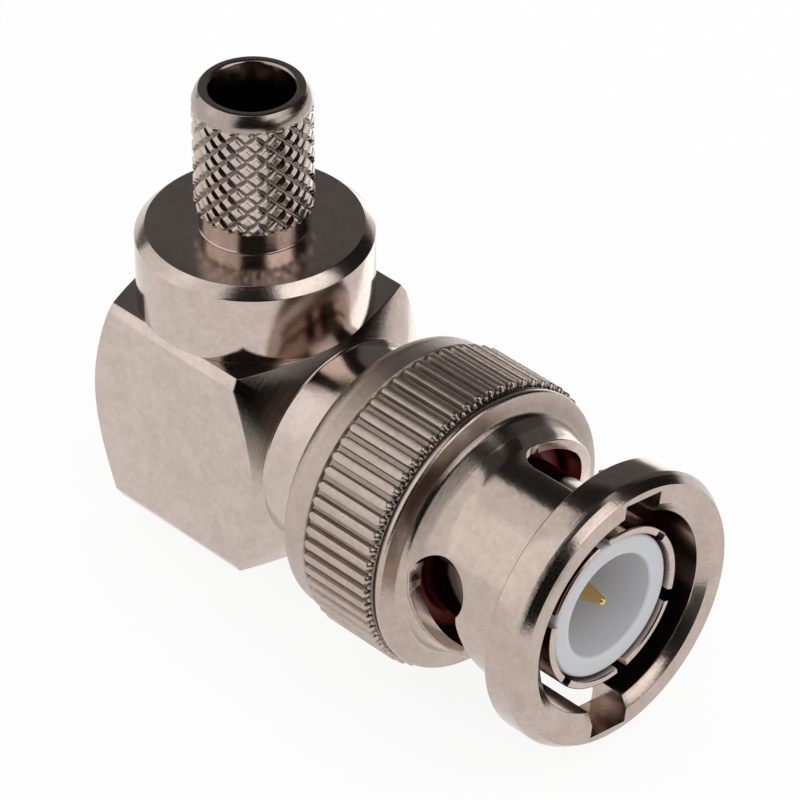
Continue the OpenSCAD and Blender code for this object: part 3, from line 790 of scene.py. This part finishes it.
NICKEL_STEM = nickel("nickel_stem", "Z", roughness=0.12, lines=0.001, zones=[
    # Painted shade: the nose is darkened all round, standing in for its dark reflections
    Zone((KNURL_Z1, STEM_TOP + 1), (STEM_BORE_R + 0.02, OUTSIDE), rough=0.08, lines=0.004,
         grain=0.001, painted_shade=0.3),
    # Painted shade inside the stem's bore
    Zone(radii=(-1, STEM_BORE_R), painted_shade=0.9),
    Zone(KNURLED, rough=0.03, grain=0.002),
    # Painted shade in the knurl's grooves
    Zone(KNURLED, (KNURL_ROOT - 0.05, KNURL_TIP - 0.1), painted_shade=0.5),
    Zone((BASE_TOP, KNURL_Z0), rough=0.03, lines=0.002)])
NICKEL_CONTACT = nickel("nickel_contact", "X", roughness=0.14, lines=0.002, zones=[
    # Painted shade on the outer contact where it lies inside the nut, behind station 18.5
    Zone((BEHIND, 18.5), painted_shade=0.85, soft=0.5)])
NICKEL_WASHER = nickel("nickel_washer", "X", roughness=0.2)
NICKEL_NUT = nickel("nickel_nut", "X", roughness=0.145, lines=0.0008, grain=0.002, waves=0.004,
                    shade=(0.91, 0.895, 0.87), zones=[
    Zone((BEHIND, BEADS_X0), (CAVITY_R, OUTSIDE), rough=0.24, lines=0.001, grain=0.010),
    # Painted shade on the ground between the ribs
    Zone(RIBBED, (CAVITY_R, RIB_ROOT + 0.06), painted_shade=0.4),
    # Painted shade round the beads and in the narrow groove in front of the ribs
    Zone((BEADS_X0, GROOVE_X1), (CAVITY_R, RIB_ROOT + 0.07), painted_shade=0.45, soft=0.03),
    Zone((BEADS_X0, GROOVE_X0), (RIB_ROOT + 0.03, OUTSIDE), rough=0.12, soft=0.03),
    Zone((GROOVE_X0, 16.2), (WAIST_R + 0.1, OUTSIDE), rough=0.06, lines=0.002, grain=0.004),
    # Painted dark reflection on a sector of the taper between the collar and the waist
    Zone((COLLAR_X + 0.05, 16.1), (WAIST_R + 0.12, COLLAR_R - 0.1), painted_shade=0.35, soft=0.08,
         angles=(-1.1, 1.4)),
    Zone((NUT_FRONT - 0.8, NUT_FRONT + 1), (RING_R - 0.4, OUTSIDE), rough=0.02, lines=0.002,
         grain=0.002)])


def ptfe():
    s = Shader("ptfe", Roughness=0.45, Subsurface_Weight=0.35)
    s.bsdf.inputs["Subsurface Radius"].default_value = (1.0, 1.0, 1.0)
    s.bsdf.inputs["Subsurface Scale"].default_value = 0.0006
    station, radius, _ = s.turned("X")
    where = s.vector(station, radius)
    fine = s.noise(where, scale=12.0)
    s.tint(s.noise(where, scale=3.0, detail=2), (0.70, 0.71, 0.745), (0.76, 0.765, 0.79))
    return s.use("Normal", s.bump(fine, 0.004 * MM)).mat


def gold():
    s = Shader("gold_plate", Metallic=1.0, Roughness=0.2)
    station, radius, _ = s.turned("X")
    line = s.noise(s.vector(station, radius), scale=18.0)
    s.tint(line, (0.80, 0.50, 0.16), (0.90, 0.62, 0.25))
    s.use("Roughness", s.ramp(line, 0.3, 0.7, 0.16, 0.3))
    return s.use("Normal", s.bump(line, 0.003 * MM)).mat


def red_rubber():
    s = Shader("red_silicone", Roughness=0.42)
    mm = s.millimetres()
    cloud = s.noise(mm, scale=2.5)
    s.tint(cloud, (0.28, 0.006, 0.008), (0.40, 0.012, 0.012))
    s.use("Roughness", s.ramp(cloud, 0.3, 0.7, 0.35, 0.5))
    return s.use("Normal", s.bump(s.noise(mm, scale=14.0), 0.006 * MM)).mat


def bronze():
    s = Shader("spring_bronze", Metallic=1.0, Roughness=0.3)
    mm = s.millimetres()
    cloud = s.noise(mm, scale=1.5, detail=4)
    s.tint(cloud, (0.50, 0.28, 0.14), (0.62, 0.38, 0.20))
    s.use("Roughness", s.ramp(cloud, 0.3, 0.7, 0.24, 0.38))
    return s.use("Normal", s.bump(cloud, 0.006 * MM)).mat


PTFE = ptfe()
dress(body_block(), NICKEL_BODY, "plug_body", "body_nickel", "body_block")
dress(stem_base(), NICKEL_BASE, "plug_body", "base_nickel", "stem_base")
dress(rear_cap(), NICKEL_CAP, "plug_body", "cap_nickel", "rear_cap")
dress(crimp_stem(), NICKEL_STEM, "plug_body", "stem_nickel", "crimp_stem")
dress(outer_contact(), NICKEL_CONTACT, "plug_body", "contact_nickel", "outer_contact")
dress(front_insulator(), PTFE, "plug_body", "white_ptfe", "front_insulator")
dress(centre_contact(), gold(), "plug_body", "gold_plate", "centre_contact")
dress(gasket(), red_rubber(), "plug_body", "red_rubber", "gasket")
dress(coupling_nut(), NICKEL_NUT, "nut", "nut_nickel", "coupling_nut")
paint("cap_insulator", PTFE)
paint("rear_insulator", PTFE)
paint("wave_washer", bronze())
paint("retaining_washer", NICKEL_WASHER)


# Studio: white all round, with cards, mats and lamps

FLOOR_HALF_M, FLOOR_GREY, FLOOR_GLOW, FLOOR_GLOW_SHARE = 3.0, 0.9, 1.04, 0.86
WORLD_LIGHT, CARD_DISTANCE, LAMP_DISTANCE, MAT_HEIGHT = 0.72, 0.5, 0.48, -7.2


def floor():
    """A pale floor under the nut, which looks nearly an even white but takes a shadow."""
    size, z = FLOOR_HALF_M, (-RIB_TIP - 0.02) * MM
    mesh = bpy.data.meshes.new("studio_floor")
    corners = [(-size, -size, z), (size, -size, z), (size, size, z), (-size, size, z)]
    mesh.from_pydata(corners, [], [(0, 1, 2, 3)])
    s = Shader("studio_floor", Roughness=1.0, Base_Color=(FLOOR_GREY,) * 3 + (1,),
               Specular_IOR_Level=0.0)
    glow = s.node("Emission", {0: (1, 1, 1, 1), 1: FLOOR_GLOW})
    mix = s.node("MixShader", {0: s.math("MULTIPLY", s.seen(), FLOOR_GLOW_SHARE)})
    s.links.new(s.bsdf.outputs[0], mix.inputs[1])
    s.links.new(glow.outputs[0], mix.inputs[2])
    s.links.new(mix.outputs[0], s.nodes["Material Output"].inputs[0])
    mesh.materials.append(s.mat)
    link(bpy.data.objects.new("studio_floor", mesh))


def world():
    """White for the camera and for reflections, and a little less for the light on the object."""
    w = bpy.data.worlds.new("studio")
    bpy.context.scene.world = w
    w.use_nodes = True
    tree = Nodes(w.node_tree)
    background = tree.nodes["Background"]
    background.inputs[0].default_value = (1, 1, 1, 1)
    tree.links.new(tree.ramp(tree.seen(), 0.0, 1.0, WORLD_LIGHT, 1.0), background.inputs[1])


def toward(azimuth, elevation):
    """A direction, from +X towards +Y and up from the floor, in degrees."""
    a, e = math.radians(azimuth), math.radians(elevation)
    return Vector((math.cos(a) * math.cos(e), math.sin(a) * math.cos(e), math.sin(e)))


def unseen_stage(name, points, faces, grey):
    """A surface of an even grey that only reflections see."""
    mesh = bpy.data.meshes.new(name)
    mesh.from_pydata(points, [], faces)
    s = Shader(name, Roughness=1.0, Base_Color=(0, 0, 0, 1), Specular_IOR_Level=0.0,
               Emission_Color=(1, 1, 1, 1), Emission_Strength=grey)
    mesh.materials.append(s.mat)
    obj = link(bpy.data.objects.new(name, mesh))
    obj.visible_camera = obj.visible_shadow = False
    obj.visible_diffuse = obj.visible_transmission = False


def card(name, azimuths, elevations, grey, step=4):
    """A curved card around the object, between two azimuths and two elevations."""
    (a0, a1), (e0, e1) = azimuths, elevations
    na, ne = int((a1 - a0) / step) + 1, int((e1 - e0) / step) + 1
    grid = [toward(a0 + (a1 - a0) * i / na, e0 + (e1 - e0) * j / ne) * CARD_DISTANCE
            for i in range(na + 1) for j in range(ne + 1)]
    faces = quads(na + 1, ne + 1, close_rows=False, close_columns=False)
    unseen_stage(name, grid, faces.tolist(), grey)


def floor_mat(name, azimuths, reach, grey, steps=10):
    """A sector of an even grey that lies on the floor and that only reflections see."""
    (a0, a1), z = azimuths, MAT_HEIGHT * MM
    ring = [math.radians(a0 + (a1 - a0) * i / steps) for i in range(steps + 1)]
    points = [(r * math.cos(a), r * math.sin(a), z) for r in reach for a in ring]
    faces = [(i, i + 1, steps + i + 2, steps + i + 1) for i in range(steps)]
    unseen_stage(name, points, faces, grey)


def lamp(name, where, size, brightness):
    """A soft rectangular lamp, whose brightness adds to the white of 1 behind it."""
    data = bpy.data.lights.new(name, "AREA")
    data.shape, data.size, data.size_y = "RECTANGLE", *size
    data.energy = brightness * math.pi * size[0] * size[1]
    obj = link(bpy.data.objects.new(name, data))
    obj.matrix_world = (Matrix.Translation(where * LAMP_DISTANCE)
                        @ where.to_track_quat("Z", "Y").to_matrix().to_4x4())


floor()
world()
# Cards and mats, dark, grey and one bright, where the metal in the photograph reflects them
card("card_back", (92, 190), (2, 44), 0.125)
card("card_back_high", (92, 172), (44, 62), 0.02)
card("card_right", (46, 92), (2, 62), 0.015)
card("card_right_low", (32, 46), (0, 30), 0.03)
card("card_overhead", (100, 200), (62, 88), 0.07)
card("card_camera", (-80, -20), (-1, 73), 0.012)
card("card_top", (-75, 100), (68, 90), 0.02)
card("card_front", (-20, 0), (-1, 34), 0.02)
card("card_front_low", (0, 32), (-1, 11), 0.05)
floor_mat("mat_dark", (-32, 8), (0.034, 0.5), 0.03)
floor_mat("mat_dark_near", (-16, 28), (0.013, 0.034), 0.08)
floor_mat("mat_bright", (117, 138), (0.0125, 0.5), 1.8)
lamp("key", toward(-130, 33), (0.17, 0.5), 0.25)
lamp("strip", toward(16, 16.5), (0.27, 0.06), 0.8)
lamp("top", toward(14, 51), (0.36, 0.2), 0.8)
bpy.context.scene.view_settings.view_transform = "Standard"
